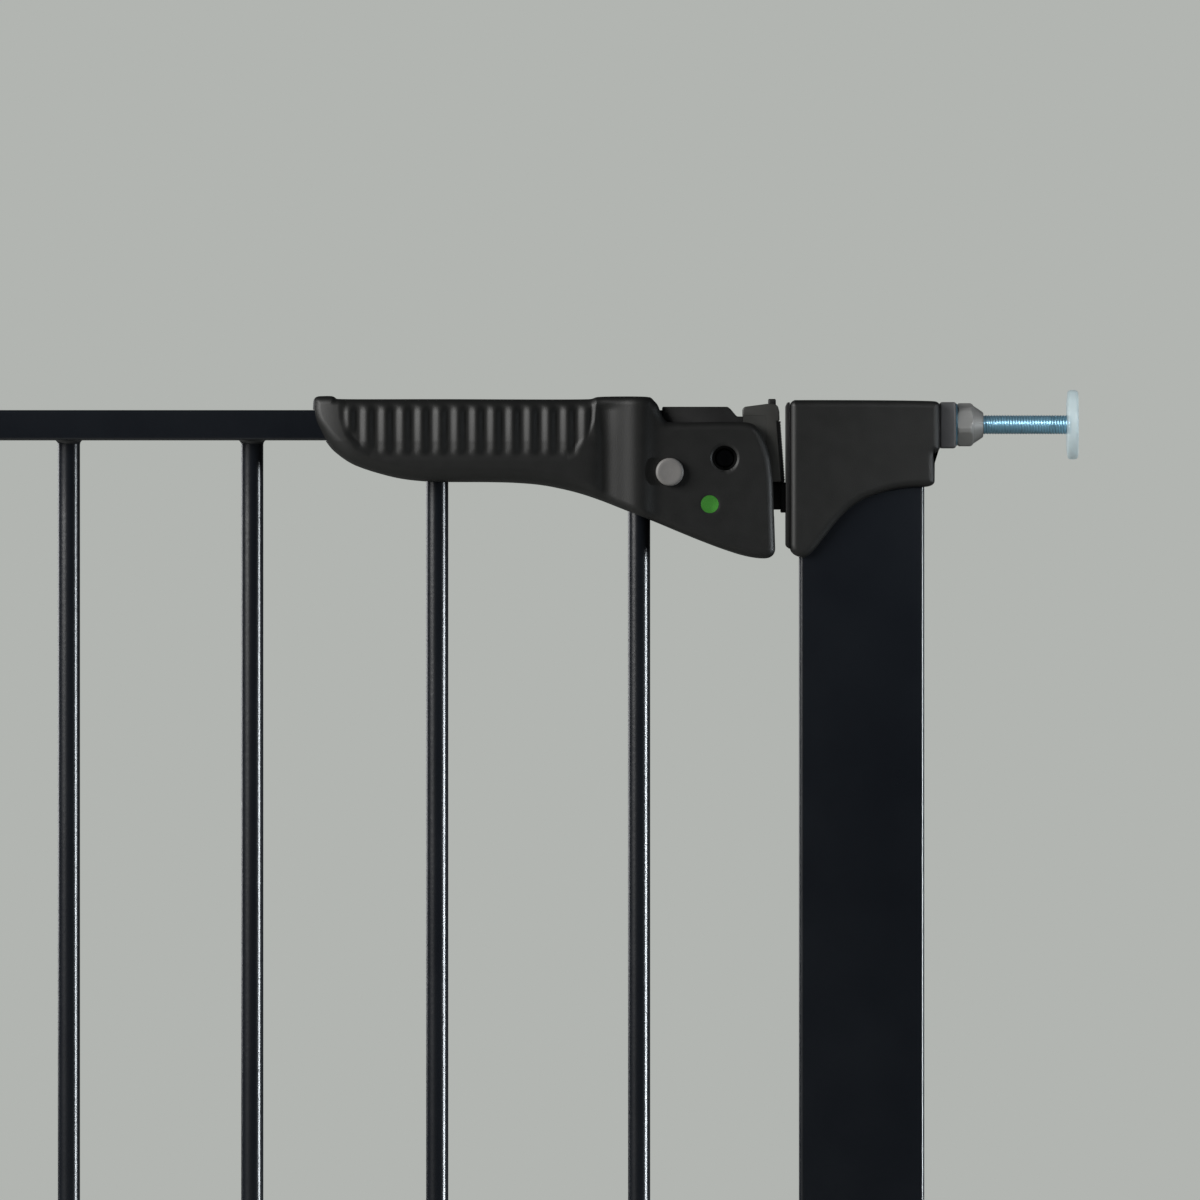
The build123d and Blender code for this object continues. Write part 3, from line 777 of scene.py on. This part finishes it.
def thread_mesh(x0, x1, radius, pitch, drop):
    """Threaded rod along x. The thread runs out at both ends."""
    n = THREAD_SEGMENTS
    angle, x = np.meshgrid(
        np.arange(n) * 2 * math.pi / n, np.arange(x0, x1 + 1e-6, pitch / THREAD_STEPS)
    )
    phase = (x / pitch - angle / (2 * math.pi)) % 1.0
    wave = np.abs(2 * phase - 1)
    groove = drop * np.clip((wave - 0.12) / 0.72, 0, 1)
    taper = smoothstep(x0, x0 + 0.8, x) * smoothstep(x1, x1 - 0.3, x)
    r = radius - groove - 0.5 * (1 - taper)
    verts = np.stack([x.ravel(), (r * np.cos(angle)).ravel(), (r * np.sin(angle)).ravel()], 1)
    faces = []
    for i in range(len(x) - 1):
        faces += band(i * n, (i + 1) * n, n)
    faces.append(tuple(range(n)))
    faces.append(tuple(range(len(verts) - 1, len(verts) - n - 1, -1)))
    return new_object("thread", verts, faces, 60.0, weld=False)


place(thread_mesh(-76.0, -2.5, radius=3.45, pitch=1.0, drop=0.30), ZINC, "spindle", "adjusting_spindle")

pad = lathe("pad", [
    (-4.1, 0.0), (-4.1, 3.6), (-4.1, 9.6), (-3.9, 10.2), (-3.9, 11.5), (-3.65, 12.1), (-3.2, 12.4),
    (-2.6, 12.5), (-1.4, 12.5), (-0.7, 12.35), (-0.25, 12.0), (0.0, 11.4), (0.0, 9.0), (-0.25, 8.7),
    (-0.25, 6.4), (0.0, 6.1), (0.0, 0.0),
], segments=96)
place(pad, PAD, "spindle", "wall_pad")

# ---------------------------------------------------------------- gate leaf
rail = tube("rail", "x", RAIL_X0, RAIL_X1, RAIL_Z0, RAIL_Z1, 1.2, 1.0)
place(rail, PAINT, "gate_leaf", "top_rail")

# a small broken edge at the cut, and a weld fillet under the rail
bar_profile = [(CUT_Z, BAR_R - 0.15), (CUT_Z + 0.15, BAR_R)]
bar_profile += [(z, BAR_R) for z in np.linspace(CUT_Z + 8, RAIL_Z0 - 1.6, 12)]
bar_profile += [(RAIL_Z0 - 0.9, BAR_R + 0.12), (RAIL_Z0 - 0.35, BAR_R + 0.45), (RAIL_Z0, BAR_R + 0.9)]
for number, x in enumerate(BAR_X, start=1):
    bar = lathe(f"bar_{number}", bar_profile, "z", (x, 0))
    place(bar, PAINT, "gate_leaf", f"gate_bar_{number}")

carrier_body = prism("carrier_body", [
    (RAIL_X1, -5.7), (RAIL_X1, 6.4), (-126.4, 6.4), (-125.4, 5.6), (-123.1, 2.9), (-112.8, 2.9),
    (-112.8, -20.3), (-121.0, -20.3), (-121.0, -5.7),
], -10, 10, "y", 0.45)
carrier_lug = box("carrier_lug", -150.0, -147.6, -3.5, 3.5, -16.5, -5.5, 0.3, 2)
place(join("carrier", [carrier_body, carrier_lug]), INNER, "gate_leaf", "rail_end_carrier")

nose_body = prism("nose_body", [
    (-121.0, 2.95), (-121.0, 5.7), (-120.3, 6.4), (-112.3, 7.45), (-109.4, 7.4), (-108.3, 6.6),
    (-107.8, 4.6), (-107.7, 1.3), (-108.8, 1.2), (-107.2, -20.7), (-112.75, -20.7), (-112.75, 2.95),
], -10.5, 10.5, "y", 0.55, 4)
cheeks = [box("cheek", -120.9, -112.6, y0, y1, -20.2, 3.1) for y0, y1 in ((-10.5, -10.05), (10.05, 10.5))]
tab = box("tab", -112.7, -106.2, 5.7, 9.4, -22.4, -20.2, 0.3, 2)
place(join("nose", [nose_body, tab] + cheeks), NOSE, "gate_leaf", "nose_cap")

pip_head = box("pip_head", -111.8, -109.0, -2.4, 2.4, 6.6, 9.3, 0.5)
place(pip_head, INNER, "gate_leaf", "nose_pin")

TEETH = 22
GUIDE_TOP = 1.2
GUIDE_HEIGHT = 21.5
GUIDE_LEAN = 1.6


def guide_outline():
    """Thin wedge whose right edge leans outwards in small teeth, from the top down."""
    points = [(-108.75, GUIDE_TOP), (-107.4, GUIDE_TOP)]
    for k in range(TEETH):
        above, below = k / TEETH, (k + 1) / TEETH
        for part in (0.35, 0.75):
            points.append((-107.4 + GUIDE_LEAN * below, GUIDE_TOP - GUIDE_HEIGHT * (above + part / TEETH)))
        points.append((-107.62 + GUIDE_LEAN * below, GUIDE_TOP - GUIDE_HEIGHT * below))
    return points + [(-105.82, -20.7), (-107.15, -20.7)]


place(prism("guide", guide_outline(), -9.4, 9.4), INNER, "gate_leaf", "end_guide")

# ---------------------------------------------------------------- pieces inside and on the handle
bolt_neck = box("bolt_neck", -140.0, -107.3, -5, 5, -30.6, -20.8, 0.35, 2)
bolt_head = prism("bolt_head", [
    (-107.35, -31.6), (-107.0, -31.7), (-98.6, -31.7), (-96.5, -29.9), (-96.5, -22.4), (-98.2, -20.8),
    (-107.35, -20.8),
], -5, 5, "y", 0.5)
place(join("bolt", [bolt_neck, bolt_head]), INNER, "handle", "latch_bolt")

button = lathe("button", [
    (-11.3, 2.0), (-11.3, 6.1), (-11.5, 6.2), (-12.4, 6.2), (-12.5, 6.1), (-12.5, 5.05), (-16.5, 5.03),
    (-16.9, 4.97), (-17.25, 4.8), (-17.48, 4.5), (-17.58, 4.1), (-17.6, 3.7), (-17.52, 3.0),
    (-17.44, 1.8), (-17.4, 0.0),
], "y", BUTTON[:2], 96, 50.0)
place(button, BUTTON_GREY, "button", "thumb_button")

lens = lathe("window", [
    (-14.9, 0.0), (-14.9, 2.9), (-14.82, 3.08), (-14.6, 3.2), (-12.6, 3.2), (-12.6, 0.0),
], "y", WINDOW[:2])
place(lens, LENS, "handle", "indicator_lens")

COIL_STEPS = 28
WIRE_SIDES = 8


def coil_mesh(name, axis, start, centre, radius, wire, length, turns):
    """Round wire wound along an axis from start to start + length; centre: the other two coordinates."""
    verts, faces = [], []
    last = turns * COIL_STEPS
    for i in range(last + 1):
        t = 2 * math.pi * i / COIL_STEPS
        along = start + length * i / last
        for k in range(WIRE_SIDES):
            a = 2 * math.pi * k / WIRE_SIDES
            r = radius + wire * math.cos(a)
            u, v = centre[0] + r * math.cos(t), centre[1] + r * math.sin(t)
            w = along + wire * math.sin(a)
            verts.append((w, u, v) if axis == "x" else (u, w, v))
    for i in range(last):
        faces += band(i * WIRE_SIDES, (i + 1) * WIRE_SIDES, WIRE_SIDES)
    faces.append(tuple(range(WIRE_SIDES)))
    faces.append(tuple(range((last + 1) * WIRE_SIDES - 1, last * WIRE_SIDES - 1, -1)))
    return new_object(name, verts, faces, 60.0)


handle_coil = coil_mesh(
    "handle_coil", "x", start=-147.0, centre=(0.0, RECESS[1]), radius=2.2, wire=0.35, length=14.8, turns=6
)
place(handle_coil, STEEL, "handle", "return_spring")
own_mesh(handle_coil)
button_coil = coil_mesh(
    "button_coil", "y", start=-10.95, centre=BUTTON[:2], radius=3.2, wire=0.3, length=3.3, turns=3
)
place(button_coil, STEEL, "button", "button_spring")
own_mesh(button_coil)
stem = lathe("stem", [(-14.5, 1.98), (-6.7, 1.98), (-6.5, 1.8)], "y", BUTTON[:2], 48)
place(stem, STEEL, "button", "button_stem")

# ---------------------------------------------------------------- pieces carried over from the CAD model
CARRIED = {
    "strike_screws": STEEL, "keeper_screws": STEEL, "spindle_bush": ACETAL, "rail_pin": STEEL,
    "cap_screws": STEEL, "indicator_slide": ACETAL, "indicator_green": GREEN, "indicator_red": RED,
    # the recess screw takes the steel painted dark as the shade of its hole
    "bolt_pins": STEEL, "shell_screws": STEEL, "recess_screw": HOLE_SHADE_STEEL, "liner_upper": ACETAL,
    "liner_lower": ACETAL, "button_cage": INNER,
}
for node, mat in CARRIED.items():
    finish(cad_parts[node], mat)

# ---------------------------------------------------------------- floor and backdrop
FLOOR_Z = -450.0
FLOOR_R = 1000.0
FLOOR_X = -170.0
FLOOR_SIDES = 96

FLOOR_GREY = add_grain(
    material("floor", (0.45, 0.46, 0.44), 0.9), scale=40, bump=0.0,
    colours=((0.44, 0.45, 0.43), (0.46, 0.47, 0.45)), roughs=(0.85, 0.95),
)
floor_turns = [2 * math.pi * k / FLOOR_SIDES for k in range(FLOOR_SIDES)]
floor_rim = [(FLOOR_X + FLOOR_R * math.cos(t), FLOOR_R * math.sin(t), FLOOR_Z) for t in floor_turns]
floor = new_object("floor", floor_rim, [tuple(range(FLOOR_SIDES))])
floor.data.materials.append(FLOOR_GREY)


def backdrop():
    """Plain grey behind the object, and a much weaker cool light from all round."""
    world = bpy.data.worlds.new("studio")
    bpy.context.scene.world = world
    world.use_nodes = True
    tree = world.node_tree
    tree.nodes.clear()
    out = tree.nodes.new("ShaderNodeOutputWorld")
    pick = tree.nodes.new("ShaderNodeMixShader")
    path = tree.nodes.new("ShaderNodeLightPath")
    seen = tree.nodes.new("ShaderNodeBackground")
    seen.inputs["Color"].default_value = (0.445, 0.462, 0.440, 1)
    lit = tree.nodes.new("ShaderNodeBackground")
    lit.inputs["Color"].default_value = (0.80, 0.86, 0.90, 1)
    lit.inputs["Strength"].default_value = 0.05
    tree.links.new(path.outputs["Is Camera Ray"], pick.inputs["Fac"])
    tree.links.new(lit.outputs["Background"], pick.inputs[1])
    tree.links.new(seen.outputs["Background"], pick.inputs[2])
    tree.links.new(pick.outputs["Shader"], out.inputs["Surface"])


backdrop()


# ---------------------------------------------------------------- lights and camera
def area(name, where, target, power, size, size_y, colour, spread=None):
    """Area light aimed at target. spread, in degrees, narrows its beam."""
    lamp = bpy.data.lights.new(name, "AREA")
    lamp.shape = "RECTANGLE"
    lamp.size, lamp.size_y = size, size_y
    lamp.energy = power
    lamp.color = colour
    if spread:
        lamp.spread = math.radians(spread)
    obj = bpy.data.objects.new(name, lamp)
    COLLECTION.objects.link(obj)
    obj.location = where
    obj.rotation_euler = (Vector(target) - Vector(where)).to_track_quat("-Z", "Y").to_euler()


area("key", (-1.25, -0.66, 0.42), (-0.2, 0.0, -0.02), 22.0, 0.75, 0.75, (1.0, 0.995, 0.98))
# glint down the right side of the bars and the post
area("edge", (0.90, -0.24, -0.32), (-0.2, 0.0, -0.32), 0.20, 0.05, 0.58, (0.88, 0.95, 1.0), spread=12)
# rim light from behind on the left
area("back", (-1.15, 1.0, 0.02), (-0.2, 0.0, -0.05), 3.0, 0.7, 0.5, (0.97, 0.98, 1.0))
# nut, spindle and pad
area("end", (0.62, -0.80, 0.42), (-0.01, 0.0, 0.0), 0.034, 0.10, 0.10, (0.97, 0.99, 1.0), spread=9)

CAMERA_DISTANCE = 8.0
VIEW_X, VIEW_Z = -0.1724, -0.0632
PICTURE_WIDTH = 0.432
SENSOR = 36.0
# the picture's width is measured this far in front of the origin
FRONT_FACE = 0.013
camera_data = bpy.data.cameras.new("camera")
camera = bpy.data.objects.new("camera", camera_data)
COLLECTION.objects.link(camera)
camera.location = (VIEW_X, -CAMERA_DISTANCE, VIEW_Z)
camera.rotation_euler = (math.radians(90), 0, 0)
camera_data.sensor_width = SENSOR
camera_data.lens = SENSOR * (CAMERA_DISTANCE - FRONT_FACE) / PICTURE_WIDTH
camera_data.clip_start = 0.05
camera_data.clip_end = 50.0
bpy.context.scene.camera = camera
bpy.context.scene.view_settings.view_transform = "Standard"
